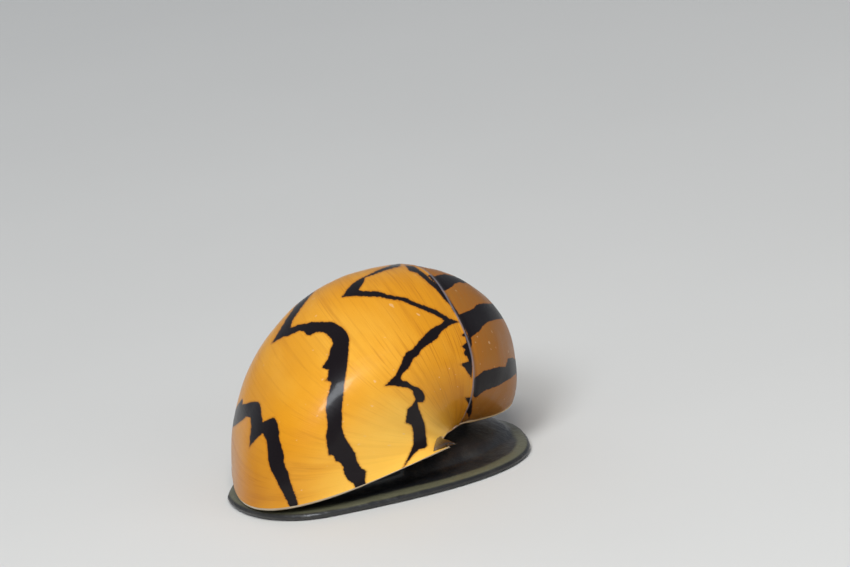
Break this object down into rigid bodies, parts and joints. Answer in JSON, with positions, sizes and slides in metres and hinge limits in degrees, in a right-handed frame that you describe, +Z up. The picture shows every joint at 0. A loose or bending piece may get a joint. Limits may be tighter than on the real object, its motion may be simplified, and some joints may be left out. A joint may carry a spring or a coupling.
{
  "type": "nerite snail",
  "caption": "Life-size nerite snail crawling on its flat sole, with a globose striped shell, head tucked under the rim and two short tentacles.",
  "frame": {"origin": "centre of the sole, on the floor", "axes": "-Y is the way the animal faces, +X its left, +Z up"},
  "size_m": [0.021, 0.0222, 0.0138],
  "materials": {
    "shell": "glossy orange-yellow shell with brownish black zigzag stripes",
    "shell_worn": "worn, matt tip of the spire",
    "callus": "smooth cream shell lining",
    "operculum": "dark brown limy lid with fine growth lines",
    "skin": "moist near-black flesh with olive-grey streaks",
    "eye": "wet black"
  },
  "bodies": {
    "root": {"shell_body_whorl": "shell", "shell_spire": "shell", "columellar_deck": "callus", "operculum": "operculum", "foot": "skin", "mantle": "skin", "head": "skin", "tentacle_left": "skin", "tentacle_right": "skin", "eye_stalk_left": "skin", "eye_stalk_right": "skin", "eye_left": "eye", "eye_right": "eye"}
  },
  "joints": []
}
